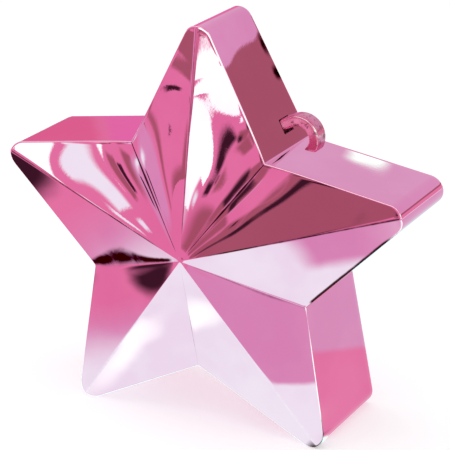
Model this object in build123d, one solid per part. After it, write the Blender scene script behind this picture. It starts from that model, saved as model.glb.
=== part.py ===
"""A star-shaped balloon weight: a hollow faceted star that stands on two of its points.

The front is moulded in one piece with the side walls. A plain star plate snaps into the
open back, a cast block fills the inside, and a curled hook for the ribbons passes through a
slot in one side wall. Millimetres, +Z up, the faceted front faces -Y, and the origin lies
on the table, midway across the width and the depth.
"""

import os
from math import atan2, cos, degrees, hypot, pi, radians, sin, tan

from build123d import *

# Star outline, seen from the front
ARMS = 5
TIP_RADIUS = 55.0  # centre to the sharp corner of a point, before it is rounded
VALLEY_RADIUS = 28.0  # centre to the corner between two points
TIP_ROUND = 3.4  # rounding of each point
LEAST_ROUND = 0.3  # the smallest rounding that an inner outline keeps

# Depth
APEX_RISE = 8.4  # the front's peak above the rim where the facets meet the walls
DEPTH = 23.6  # rim to back, level with the star's centre
BACK_LEAN = 4.8  # degrees that the back leans in towards the top, so the feet are deeper

# Shell
WALL = 1.6
RIM_EDGE_ROUND = 0.4  # the softened edge between the facets and the walls

# Back cover
COVER_THICK = 1.5
COVER_SEAT = 0.8  # how far the cover's seat lies inside the outside of the walls
COVER_GAP = 0.1  # clearance round the cover's edge
LIP_DEPTH = 3.0  # the lip inside the walls that locates the cover
LIP_THICK = 1.2
LIP_GAP = 0.15  # clearance between the lip and the walls
BEAD_RADIUS = 0.6  # snap beads along the lip
BEAD_LENGTH = 8.0
BEAD_SINK = 0.2  # how far a bead's axis lies inside the lip's outer face
BEAD_GAP = 0.15  # clearance between a bead and its groove
RIB_THICK = 1.2  # stiffening ribs on the inside of the cover
RIB_HEIGHT = 1.4
RIB_END_GAP = 10.0  # from a rib's end to the lip's corner in its point

# Cast block
CAST_GAP = 0.2  # the block shrinks this far from the shell
FILL_GAP = 0.4  # from the lip's edge to the block's poured surface

# Ribbon hook
HOOK_WIDTH = 4.2  # along the depth of the star
HOOK_GAUGE = 2.4  # thickness of the curled bar
HOOK_INNER_RADIUS = 2.7
HOOK_REACH = 2.3  # the bend's centre out from the wall that carries it
HOOK_SEAT = 1.3  # the bend's centre above the valley, along that wall
HOOK_BACK_GAP = 5.3  # the hook's rear side to the back, at the valley
HOOK_MOUTH = 0.4  # gap between the hook's end and the next point's wall
HOOK_EDGE_ROUND = 0.6
SLOT_GAP = 0.15  # clearance round the shank in its slot
SLOT_RELIEF = 0.9  # the slot is taller than the shank, on the valley's side
PLATE_THICK = 1.4  # the plate that keeps the hook from pulling out
PLATE_MARGIN = 1.0  # how far the plate reaches past the slot
PLATE_GAP = 0.1  # clearance between the plate and the wall
POCKET_GAP = 0.3  # clearance round the plate in the block and the lip

OVERRUN = 2.0  # how far cutting shapes run past what they cut

# Worked out from the sizes above
ARM_ANGLE = 2 * pi / ARMS
VALLEY_ACROSS = VALLEY_RADIUS * sin(ARM_ANGLE / 2)  # the first valley, across and up from the centre
VALLEY_UP = VALLEY_RADIUS * cos(ARM_ANGLE / 2)
TIP_HALF_ANGLE = atan2(VALLEY_ACROSS, TIP_RADIUS - VALLEY_UP)
WALL_RADIUS = TIP_RADIUS * sin(TIP_HALF_ANGLE)  # centre to the line of a wall
FACET_SLOPE = APEX_RISE / WALL_RADIUS
FACET_STRETCH = hypot(1, FACET_SLOPE)
LEAN = radians(BACK_LEAN)
ROUND_CENTRE_RADIUS = TIP_RADIUS - TIP_ROUND / sin(TIP_HALF_ANGLE)
FOOT_DROP = ROUND_CENTRE_RADIUS * cos(ARM_ANGLE / 2) + TIP_ROUND
FOOT_DEPTH = DEPTH + FOOT_DROP * tan(LEAN)
RIM_Y = (APEX_RISE - FOOT_DEPTH) / 2
REACH = FOOT_DEPTH + OVERRUN  # from the rim to past the back

# The rim's plane looks out of the front, with its origin at the star's centre
RIM = Plane(origin=(0, RIM_Y, FOOT_DROP), x_dir=(1, 0, 0), z_dir=(0, -1, 0))

# The hook's plane has X out of the wall and Y up the wall, from the valley's corner
HOOK_SETBACK = DEPTH - VALLEY_UP * tan(LEAN) - HOOK_BACK_GAP - HOOK_WIDTH
HOOK_CORNER = (VALLEY_ACROSS, VALLEY_UP, -HOOK_SETBACK)
HOOK_PLANE = Plane(RIM * Location(HOOK_CORNER, (0, 0, degrees(TIP_HALF_ANGLE))))
HOOK_OUTER_RADIUS = HOOK_INNER_RADIUS + HOOK_GAUGE
SHANK_LOW = HOOK_SEAT + HOOK_INNER_RADIUS
SHANK_HIGH = HOOK_SEAT + HOOK_OUTER_RADIUS
PLATE_FACE = -WALL - PLATE_GAP
NEXT_WALL_NORMAL = pi - ARM_ANGLE - 2 * TIP_HALF_ANGLE  # direction out of the next point's wall


def back_plane(sunk):
    """The plane parallel to the back, sunk this far below it along the depth, looking out."""
    centre = (0, RIM_Y + DEPTH - sunk, FOOT_DROP)
    return Plane(origin=centre, x_dir=(1, 0, 0), z_dir=(0, cos(LEAN), sin(LEAN)))


def in_front_of(body, plane):
    """The part of a body on the front's side of a plane parallel to the back."""
    return split(body, bisect_by=plane, keep=Keep.BOTTOM)


def behind(body, plane):
    """The part of a body on the back's side of a plane parallel to the back."""
    return split(body, bisect_by=plane, keep=Keep.TOP)


def star_corners(inset):
    """The outline's corners in turn from the top point, moved inwards by the inset."""
    share = (WALL_RADIUS - inset) / WALL_RADIUS
    corners = []
    for index in range(2 * ARMS):
        radius = (VALLEY_RADIUS if index % 2 else TIP_RADIUS) * share
        angle = index * ARM_ANGLE / 2
        corners.append(Vector(radius * sin(angle), radius * cos(angle)))
    return corners


def sharp_star(inset):
    """The outline as a face with sharp points."""
    return make_face(Polyline(*star_corners(inset), close=True))


def round_star(inset):
    """The outline as a face with rounded points."""
    outline = sharp_star(inset)
    middle_radius = (TIP_RADIUS + VALLEY_RADIUS) / 2
    tips = [corner for corner in outline.vertices() if Vector(*corner).length > middle_radius]
    return fillet(tips, max(TIP_ROUND - inset, LEAST_ROUND))


def star_column(inset):
    """A straight column with the rounded outline, from past the front to past the back."""
    front = APEX_RISE + OVERRUN
    return extrude(RIM.offset(front) * round_star(inset), -front - REACH)


def star_body(inset, back):
    """The whole faceted star, every face moved inwards by the inset, closed by a back plane."""
    rim = -inset * (FACET_STRETCH - FACET_SLOPE)
    apex = APEX_RISE - inset * FACET_STRETCH
    base = RIM.offset(rim) * sharp_star(inset)
    peak = Vertex(*RIM.from_local_coords(Vector(0, 0, apex)))
    crown = loft([base.face(), peak], ruled=True)
    sharp = crown + extrude(base, -REACH)
    return in_front_of(sharp & star_column(inset), back)


def soften_rim(body):
    """The body with the edge between its facets and its walls rounded off."""
    rim = [edge for edge in body.edges() if abs(RIM.to_local_coords(edge.center()).Z) < WALL]
    return fillet(rim, RIM_EDGE_ROUND)


def bead(tip, valley, radius, length):
    """A round bar along the middle of one wall, level with the middle of the cover's lip."""
    along = (tip - valley).normalized()
    ends = []
    for half in (-length / 2, length / 2):
        point = (tip + valley) / 2 + along * half
        depth = DEPTH - COVER_THICK - LIP_DEPTH / 2 - point.Y * tan(LEAN)
        ends.append(RIM.from_local_coords(Vector(point.X, point.Y, -depth)))
    run = ends[1] - ends[0]
    return extrude(Plane(origin=ends[0], z_dir=run) * Circle(radius), run.length)


def beads(radius, length):
    """The bars of all the walls."""
    corners = star_corners(WALL + LIP_GAP + BEAD_SINK)
    bars = Part()
    for index in range(0, 2 * ARMS, 2):
        for side in (-1, 1):
            bars += bead(corners[index], corners[(index + side) % (2 * ARMS)], radius, length)
    return bars


def hook_block(low, high, margin):
    """A box in the hook's plane between two corners, past both sides of the hook by the margin."""
    width, height = high[0] - low[0], high[1] - low[1]
    face = Pos(low[0] + width / 2, low[1] + height / 2) * Rectangle(width, height)
    return extrude(HOOK_PLANE.offset(margin) * face, -HOOK_WIDTH - 2 * margin)


def hook_slot():
    """The opening in the wall that the hook's shank passes through."""
    low = (-WALL - OVERRUN, SHANK_LOW - SLOT_RELIEF)
    high = (OVERRUN, SHANK_HIGH + SLOT_GAP)
    return hook_block(low, high, SLOT_GAP)


def hook_plate(gap):
    """The plate behind the wall, grown all round by a gap."""
    low = (PLATE_FACE - PLATE_THICK - gap, SHANK_LOW - SLOT_RELIEF - PLATE_MARGIN - gap)
    high = (PLATE_FACE + gap, SHANK_HIGH + SLOT_GAP + PLATE_MARGIN + gap)
    return hook_block(low, high, SLOT_GAP + PLATE_MARGIN + gap)


def hook_bend(radius):
    """Start, middle and end of a half turn about the bend's centre."""
    top = (HOOK_REACH, HOOK_SEAT + radius)
    side = (HOOK_REACH + radius, HOOK_SEAT)
    return top, side, (HOOK_REACH, HOOK_SEAT - radius)


def hook_mouth():
    """A face that covers everything nearer to the next point's wall than the mouth."""
    size = 2 * HOOK_OUTER_RADIUS + HOOK_REACH
    below = Pos(HOOK_MOUTH - size / 2, 0) * Rectangle(size, 2 * size)
    return Rot(0, 0, degrees(NEXT_WALL_NORMAL)) * below


def make_front_shell():
    """The faceted front and the walls, hollow, with the cover's seat, grooves and the slot."""
    shell = soften_rim(star_body(0, back_plane(0)))
    shell -= star_body(WALL, back_plane(-OVERRUN))
    shell -= behind(star_column(COVER_SEAT), back_plane(COVER_THICK))
    shell -= beads(BEAD_RADIUS + BEAD_GAP, BEAD_LENGTH + 2 * BEAD_GAP)
    return shell - hook_slot()


def make_cover_lip():
    """The lip under the cover that locates it inside the walls, with its snap beads."""
    outside = WALL + LIP_GAP
    lip = star_column(outside) - star_column(outside + LIP_THICK)
    lip = behind(lip, back_plane(COVER_THICK + LIP_DEPTH))
    lip = in_front_of(lip, back_plane(COVER_THICK))
    return lip + beads(BEAD_RADIUS, BEAD_LENGTH) - hook_plate(POCKET_GAP)


def make_cover_ribs():
    """The ribs under the cover, one along each point."""
    corner_radius = star_corners(WALL + LIP_GAP + LIP_THICK)[0].length
    length = corner_radius - RIB_END_GAP
    spokes = Sketch()
    for index in range(ARMS):
        spoke = Pos(0, length / 2) * Rectangle(RIB_THICK, length)
        spokes += Rot(0, 0, degrees(index * ARM_ANGLE)) * spoke
    ribs = behind(extrude(RIM * spokes, -REACH), back_plane(COVER_THICK + RIB_HEIGHT))
    return in_front_of(ribs, back_plane(COVER_THICK))


def make_back_cover():
    """The star plate that closes the back, with its lip and its ribs."""
    plate = behind(star_column(COVER_SEAT + COVER_GAP), back_plane(COVER_THICK))
    return in_front_of(plate, back_plane(0)) + make_cover_lip() + make_cover_ribs()


def make_ballast():
    """The block cast inside the shell, poured to just under the cover's lip."""
    poured = back_plane(COVER_THICK + LIP_DEPTH + FILL_GAP)
    return star_body(WALL + CAST_GAP, poured) - hook_plate(POCKET_GAP)


def make_hook():
    """The ribbon hook: a curled bar, its shank through the wall and the plate inside."""
    inner = hook_bend(HOOK_INNER_RADIUS)
    outer = hook_bend(HOOK_OUTER_RADIUS)
    root_low = (PLATE_FACE, SHANK_LOW)
    root_high = (PLATE_FACE, SHANK_HIGH)
    outline = [
        Line(root_low, inner[0]),
        ThreePointArc(*inner),
        Line(inner[2], outer[2]),
        ThreePointArc(*reversed(outer)),
        Line(outer[0], root_high),
        Line(root_high, root_low),
    ]
    face = make_face(outline) - hook_mouth()
    bar = extrude(HOOK_PLANE * face, -HOOK_WIDTH)
    bends = bar.edges().filter_by(GeomType.CIRCLE)
    return fillet(bends, HOOK_EDGE_ROUND) + hook_plate(0)


def main():
    """Builds every piece and writes it to its own file."""
    os.makedirs("parts", exist_ok=True)
    pieces = {
        "front_shell": make_front_shell(),
        "back_cover": make_back_cover(),
        "ballast": make_ballast(),
        "hook": make_hook(),
    }
    for name, piece in pieces.items():
        export_step(piece, f"parts/{name}.step")


if __name__ == "__main__":
    main()
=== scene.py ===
import logging
import math
from dataclasses import dataclass
from enum import Enum
from functools import cached_property
from typing import ClassVar

import bpy
import numpy as np
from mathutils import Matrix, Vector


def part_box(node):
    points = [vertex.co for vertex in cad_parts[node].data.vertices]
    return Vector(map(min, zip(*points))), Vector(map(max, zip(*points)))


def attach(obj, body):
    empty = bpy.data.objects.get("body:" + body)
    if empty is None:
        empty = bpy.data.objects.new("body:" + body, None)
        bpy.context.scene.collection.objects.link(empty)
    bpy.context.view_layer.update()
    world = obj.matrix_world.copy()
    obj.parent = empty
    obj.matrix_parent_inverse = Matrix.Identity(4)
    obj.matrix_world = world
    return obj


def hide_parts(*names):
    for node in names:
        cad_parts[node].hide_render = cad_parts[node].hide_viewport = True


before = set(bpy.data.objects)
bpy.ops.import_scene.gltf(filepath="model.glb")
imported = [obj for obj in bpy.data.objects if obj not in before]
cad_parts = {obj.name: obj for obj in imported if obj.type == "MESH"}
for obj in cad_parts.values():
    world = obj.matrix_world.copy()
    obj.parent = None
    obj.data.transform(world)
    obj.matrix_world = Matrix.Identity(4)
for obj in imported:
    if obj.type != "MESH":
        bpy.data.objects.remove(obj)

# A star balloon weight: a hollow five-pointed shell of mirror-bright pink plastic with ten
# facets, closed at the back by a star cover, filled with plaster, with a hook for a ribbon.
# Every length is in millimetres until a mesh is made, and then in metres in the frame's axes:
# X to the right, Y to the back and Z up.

log = logging.getLogger("balloon_weight")
MM = 0.001
BODY = "root"
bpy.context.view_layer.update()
TURN = 2.0 * math.pi
SHARP_ANGLE = math.radians(38.0)
WAVE_COUNT = 6
WAVE_SPREAD = (0.7, 1.6)

Array = np.ndarray
Socket = bpy.types.NodeSocket
Node = bpy.types.Node
Material = bpy.types.Material
Colour = tuple[float, float, float]
Pair = tuple[float, float]


def smooth_step(low: float, high: float, value: Array) -> Array:
    """Cubic ease from 0 at one value to 1 at another.

    Args:
        low: The value at which the ease starts.
        high: The value at which it ends.
        value: The values to ease.

    Returns:
        3 t^2 - 2 t^3, with t the share of the way from low to high, held to 0..1.
    """
    t = np.clip((value - low) / (high - low), 0.0, 1.0)
    return t * t * (3.0 - 2.0 * t)


def bell(value: Array) -> Array:
    """exp(-value^2): 1 in the middle, dying out to both sides."""
    return np.exp(-(value ** 2))


def wrapped(angle: Array) -> Array:
    """An angle brought to within half a turn of 0."""
    return (angle + math.pi) % TURN - math.pi


def waves(across: Array, up: Array, length: float, seed: int) -> Array:
    """A gentle uneven swell over a flat surface.

    Args:
        across: First place on the surface.
        up: Second place on the surface, in the same shape.
        length: The mean wavelength.
        seed: The seed of the waves' bearings, phases and lengths.

    Returns:
        The mean of sines of (place along a bearing) / (wavelength), each with its own phase.
    """
    draw = np.random.default_rng(seed)
    bearing = draw.uniform(0.0, TURN, WAVE_COUNT)
    phase = draw.uniform(0.0, TURN, WAVE_COUNT)
    rate = TURN / (length * draw.uniform(*WAVE_SPREAD, WAVE_COUNT))
    shape = (WAVE_COUNT,) + (1,) * np.ndim(across)
    along = np.sin(bearing).reshape(shape) * across + np.cos(bearing).reshape(shape) * up
    return np.sin(along * rate.reshape(shape) + phase.reshape(shape)).mean(axis=0)


@dataclass(frozen=True)
class StarForm:
    """The star's own sizes and the outline that the shell and the cover share.

    Places are (x, z) seen from the front, from the middle of the star, and depth is measured
    back from the plane of the front rim.
    """

    arms: int = 5
    tip_radius: float = 55.0
    valley_radius: float = 28.0
    tip_round: float = 3.4
    crease_round: float = 0.35
    apex_rise: float = 8.4
    depth: float = 23.6
    back_lean: float = math.radians(4.8)
    wall: float = 1.6
    arc_points: int = 17
    arc_crowding: float = 1.6
    run_points: int = 43
    cuts: Pair = (3.1, 6.55)

    @cached_property
    def pitch(self) -> float:
        """The angle from one tip to the next."""
        return TURN / self.arms

    @cached_property
    def corners(self) -> Array:
        """The sharp corners, clockwise from the top tip, tips and valleys in turn."""
        step = np.arange(2 * self.arms)
        radius = np.where(step % 2 == 0, self.tip_radius, self.valley_radius)
        angle = step * math.pi / self.arms
        return radius[:, None] * np.stack([np.sin(angle), np.cos(angle)], axis=1)

    @cached_property
    def along(self) -> Array:
        """The direction of the wall after each corner."""
        run = np.roll(self.corners, -1, axis=0) - self.corners
        return run / np.linalg.norm(run, axis=1, keepdims=True)

    @cached_property
    def normals(self) -> Array:
        """The outward normal of the wall after each corner."""
        return np.stack([-self.along[:, 1], self.along[:, 0]], axis=1)

    @cached_property
    def wall_radius(self) -> float:
        """The distance from the middle of the star to the line of a wall."""
        return float(self.corners[0] @ self.normals[0])

    @cached_property
    def slope(self) -> float:
        """The rise of a facet for each millimetre inward from its wall."""
        return self.apex_rise / self.wall_radius

    @cached_property
    def run(self) -> Array:
        """Places along the straight of a wall, from its valley: closer at both ends.

        Returns:
            Cosine-spaced distances between the two roundings, with the nearest one moved onto
            each edge of the hook's slot.
        """
        length = float(np.linalg.norm(self.corners[1] - self.corners[0]))
        near = self.crease_round * math.tan(abs(self.turns[1]) / 2)
        far = length - self.tip_round * math.tan(self.turns[0] / 2)
        share = 0.5 - 0.5 * np.cos(np.linspace(0.0, math.pi, self.run_points + 2)[1:-1])
        places = near + (far - near) * share
        for cut in self.cuts:
            places[np.argmin(np.abs(places - cut))] = cut
        return places

    @cached_property
    def _bearings(self) -> Array:
        """The bearing of each wall's normal, clockwise from up."""
        return np.arctan2(self.normals[:, 0], self.normals[:, 1])

    @cached_property
    def turns(self) -> Array:
        """The turn of the outline at each corner: clockwise at a tip, back at a valley."""
        return wrapped(self._bearings - np.roll(self._bearings, 1))

    @cached_property
    def facing(self) -> Array:
        """The outward direction at each point of the outline.

        Returns:
            The bearing swept round each corner's arc, in steps that are smallest at its middle,
            then held along the wall.
        """
        sweep = np.linspace(-1.0, 1.0, self.arc_points)
        sweep = 0.5 + 0.5 * np.sign(sweep) * np.abs(sweep) ** self.arc_crowding
        swing = np.roll(self._bearings, 1)[:, None] + self.turns[:, None] * sweep
        held = np.repeat(self._bearings[:, None], self.run_points, axis=1)
        bearing = np.concatenate([swing, held], axis=1).reshape(-1)
        return np.stack([np.sin(bearing), np.cos(bearing)], axis=1)

    @cached_property
    def outline(self) -> Array:
        """The outline of the walls: an arc at every corner and a straight run after it.

        Returns:
            For an arc, its centre plus the rounding along the facing, outward at a tip and
            inward at a valley. For a run, the valley plus the places along the wall.
        """
        tips = np.arange(2 * self.arms) % 2 == 0
        bend = np.where(tips, self.tip_round, -self.crease_round)
        before = np.roll(self.normals, 1, axis=0)
        spread = (before + self.normals) / (1.0 + (before * self.normals).sum(1))[:, None]
        centre = self.corners - bend[:, None] * spread
        facing = self.facing.reshape(2 * self.arms, -1, 2)[:, : self.arc_points]
        arcs = centre[:, None] + bend[:, None, None] * facing
        valley = np.where(tips[:, None], np.roll(self.corners, -1, axis=0), self.corners)
        outward = np.where(tips[:, None], -self.along, self.along)
        runs = valley[:, None] + self.run[None, :, None] * outward[:, None]
        runs = np.where(tips[:, None, None], runs[:, ::-1], runs)
        return np.concatenate([arcs, runs], axis=1).reshape(-1, 2)

    def from_tip(self, bearing: Array) -> Array:
        """The angle from a bearing to the nearest tip."""
        return np.abs((bearing + self.pitch / 2) % self.pitch - self.pitch / 2)

    def inset(self, amount: Array | float) -> Array:
        """The outline moved inward along its facing, so its arcs stay concentric."""
        return self.outline - np.asarray(amount)[..., None] * self.facing

    def back(self, places: Array) -> Array:
        """The depth of the leaning back plane: less by z times the tangent of the lean."""
        return self.depth - places[..., 1] * math.tan(self.back_lean)

    @cached_property
    def offset(self) -> Array:
        """The place of the star's middle, at the rim's depth, in the frame's axes.

        Returns:
            The point that puts the apex on the CAD shell's front and the top tip on its top.
        """
        low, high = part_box("front_shell")
        half_tip = (math.pi - self.turns[0]) / 2
        top = self.tip_radius - self.tip_round * (1.0 / math.sin(half_tip) - 1.0)
        middle = (low.x + high.x) / (2 * MM)
        return np.array([middle, low.y / MM + self.apex_rise, high.z / MM - top])

    def place(self, places: Array, depths: Array) -> Array:
        """Points of the star, given as (x, z) and depth, in the frame's axes in millimetres."""
        return np.stack([places[..., 0], depths, places[..., 1]], axis=-1) + self.offset


@dataclass
class Sheet:
    """A surface in rows of the same number of points, closed round each row and at two poles."""

    rows: Array
    start: Array
    stop: Array
    wear: Array
    inner: Array
    # Painted dark reflections, 0 to 1 for each point.
    dark_reflection: Array | None = None
    outward_first: bool = True
    hole: tuple[slice, slice, slice] | None = None

    def faces(self) -> tuple[Array, Array, Array, Array]:
        """The quads between rows, the fans at the poles, and the sides of the hole.

        Returns:
            Quads, which of them are inner, triangles, and which of those are inner. Each quad
            runs along a row, to the next row and back, so that all turn the same way.
        """
        count, width = self.rows.shape[:2]
        index = 1 + np.arange(count * width).reshape(count, width)
        after = np.roll(index, -1, axis=1)
        quads = np.stack([index[:-1], after[:-1], after[1:], index[1:]], axis=-1)
        inner = np.repeat(self.inner[:-1, None], width, axis=1)
        keep = np.ones(inner.shape, bool)
        sides = np.zeros((0, 4), int)
        if self.hole is not None:
            columns, outer_rows, inner_rows = self.hole
            keep[outer_rows, columns] = False
            keep[inner_rows, columns] = False
            sides = self._hole_sides(index)
        quads = np.concatenate([quads[keep], sides])
        inner = np.concatenate([inner[keep], np.ones(len(sides), bool)])
        last = np.full(width, count * width + 1)
        head = np.stack([np.zeros(width, int), after[0], index[0]], axis=-1)
        tail = np.stack([index[-1], after[-1], last], axis=-1)
        triangles = np.concatenate([head, tail])
        fan = np.repeat([self.inner[0], self.inner[-1]], width)
        if not self.outward_first:
            quads, triangles = quads[:, ::-1], triangles[:, ::-1]
        return quads, inner, triangles, fan

    def _hole_sides(self, index: Array) -> Array:
        """Quads that join the hole's edge on the outer face to its edge on the inner face.

        Args:
            index: The vertex number of each grid point.

        Returns:
            One quad for each step round the hole.
        """
        columns, outer_rows, inner_rows = self.hole
        left, right = columns.start, columns.stop

        def loop(near: int, far: int) -> Array:
            """The hole's edge from one corner round to it again, near row first."""
            step = 1 if far > near else -1
            side = np.arange(near, far, step)
            return np.concatenate([
                index[near, left:right], index[side, right],
                index[far, right:left:-1], index[side + step, left][::-1],
            ])

        outer = loop(outer_rows.start, outer_rows.stop)
        inner = loop(inner_rows.stop, inner_rows.start)
        return np.stack([outer, np.roll(outer, -1), np.roll(inner, -1), inner], axis=-1)

    def mesh(self, name: str) -> bpy.types.Mesh:
        """The surface as a mesh in metres, smooth but for its sharp edges.

        Args:
            name: The name of the mesh.

        Returns:
            The mesh, with wear and painted dark reflection attributes on its points and inner faces
            in slot 1.
        """
        quads, inner, triangles, fan = self.faces()
        points = np.concatenate([self.start[None], self.rows.reshape(-1, 3), self.stop[None]])
        made = bpy.data.meshes.new(name)
        made.from_pydata((points * MM).tolist(), [], quads.tolist() + triangles.tolist())
        slots = np.concatenate([inner, fan]).astype(np.int32)
        made.polygons.foreach_set("material_index", slots)
        made.polygons.foreach_set("use_smooth", np.ones(len(slots), bool))
        for label, values in (("wear", self.wear), ("dark_reflection", self.dark_reflection)):
            if values is not None:
                layer = made.attributes.new(label, "FLOAT", "POINT")
                layer.data.foreach_set("value", np.concatenate([[0.0], values.reshape(-1), [0.0]]))
        made.validate()
        made.set_sharp_from_angle(angle=SHARP_ANGLE)
        return made


class Graph:
    """A node tree that is filled one node at a time."""

    def __init__(self, tree: bpy.types.NodeTree) -> None:
        """Empties the tree."""
        self.tree = tree
        tree.nodes.clear()

    def add(self, kind: str, **values: object) -> Node:
        """One node with its properties set.

        Args:
            kind: The node's type without its "ShaderNode" prefix.
            values: Properties by name.

        Returns:
            The new node.
        """
        node = self.tree.nodes.new("ShaderNode" + kind)
        for name, value in values.items():
            setattr(node, name, value)
        return node

    def feed(self, node: Node, **inputs: object) -> Node:
        """Sets or links a node's sockets.

        Args:
            node: The node that takes the inputs.
            inputs: Values or output sockets, by socket name with _ for a space, or i and a
                number for a socket by place.

        Returns:
            The same node.
        """
        for name, value in inputs.items():
            by_place = name[0] == "i" and name[1:].isdigit()
            socket = node.inputs[int(name[1:]) if by_place else name.replace("_", " ")]
            if isinstance(value, Socket):
                self.tree.links.new(value, socket)
            else:
                socket.default_value = value
        return node

    def math(self, operation: str, *terms: object) -> Socket:
        """The result of a Math node's operation on values or sockets."""
        node = self.add("Math", operation=operation)
        return self.feed(node, **{f"i{place}": term for place, term in enumerate(terms)}).outputs[0]

    def vector(self, operation: str, *terms: object) -> Node:
        """A Vector Math node's operation on vectors or sockets."""
        node = self.add("VectorMath", operation=operation)
        return self.feed(node, **{f"i{place}": term for place, term in enumerate(terms)})

    def dot(self, vector: Socket, axis: Array) -> Socket:
        """The length of a vector along an axis."""
        return self.vector("DOT_PRODUCT", vector, tuple(axis)).outputs["Value"]

    def warp(self, place: Socket, scale: float, reach: float) -> Socket:
        """Coordinates pulled about a little, so that straight borders waver.

        Args:
            place: The socket with the coordinates.
            scale: Cells in a unit.
            reach: The most that a place moves, about.

        Returns:
            The place plus reach times (a cloudy vector less its mean).
        """
        cloud = self.feed(self.add("TexNoise"), Vector=place, Scale=scale, Detail=2.0)
        pull = self.vector("SUBTRACT", cloud.outputs["Color"], (0.5, 0.5, 0.5))
        return self.vector("MULTIPLY_ADD", pull.outputs[0], (reach, reach, reach), place).outputs[0]

    def ease(self, value: object, low: float, high: float, start: float = 0.0,
             stop: float = 1.0) -> Socket:
        """A smooth step between two values.

        Args:
            value: The socket to read.
            low: Where the step starts.
            high: Where it ends.
            start: The result before the step.
            stop: The result after it.

        Returns:
            The socket of the result.
        """
        node = self.add("MapRange", interpolation_type="SMOOTHSTEP")
        return self.feed(node, i0=value, i1=low, i2=high, i3=start, i4=stop).outputs[0]

    def noise(self, place: Socket, scale: float, detail: float = 2.0, roughness: float = 0.5,
              distortion: float = 0.0) -> Socket:
        """A cloudy pattern.

        Args:
            place: The socket with the coordinates.
            scale: Cells in a metre.
            detail: Octaves.
            roughness: The share of each finer octave.
            distortion: How far the pattern is pulled about.

        Returns:
            The socket of the pattern, about 0 to 1.
        """
        return self.feed(self.add("TexNoise"), Vector=place, Scale=scale, Detail=detail,
                         Roughness=roughness, Distortion=distortion).outputs[0]

    def blend(self, share: object, first: object, second: object) -> Socket:
        """A mix of two colours.

        Args:
            share: The share of the second.
            first: Colour or socket.
            second: Colour or socket.

        Returns:
            The socket of the mix.
        """
        node = self.add("Mix", data_type="RGBA")
        colours = [value if isinstance(value, Socket) else (*value, 1.0)
                   for value in (first, second)]
        return self.feed(node, i0=share, i6=colours[0], i7=colours[1]).outputs[2]

    def bump(self, height: Socket, distance: float) -> Socket:
        """The normal of a surface raised by a pattern, at most by a distance in metres."""
        node = self.feed(self.add("Bump"), Strength=1.0, Distance=distance, Height=height)
        return node.outputs[0]

    def either(self, share: Socket, first: Node, second: Node) -> Node:
        """A mix of two shaders, by the share of the second."""
        return self.feed(self.add("MixShader"), i0=share, i1=first.outputs[0], i2=second.outputs[0])


@dataclass(frozen=True)
class Finish:
    """A surface of the star, as nodes on Object coordinates and the piece's own attributes."""

    name: str

    def inputs(self, graph: Graph, place: Socket) -> dict[str, object]:
        """The shader's inputs by socket name.

        Args:
            graph: The material's nodes.
            place: The socket of the Object coordinates.

        Returns:
            Values and sockets for the Principled shader.
        """
        raise NotImplementedError

    def material(self) -> Material:
        """The finish as a material.

        Returns:
            A Principled shader with the finish's own inputs.
        """
        made = bpy.data.materials.new(self.name)
        made.use_nodes = True
        graph = Graph(made.node_tree)
        place = graph.add("TexCoord").outputs["Object"]
        shader = graph.feed(graph.add("BsdfPrincipled"), **self.inputs(graph, place))
        graph.feed(graph.add("OutputMaterial"), Surface=shader.outputs[0])
        return made


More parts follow.
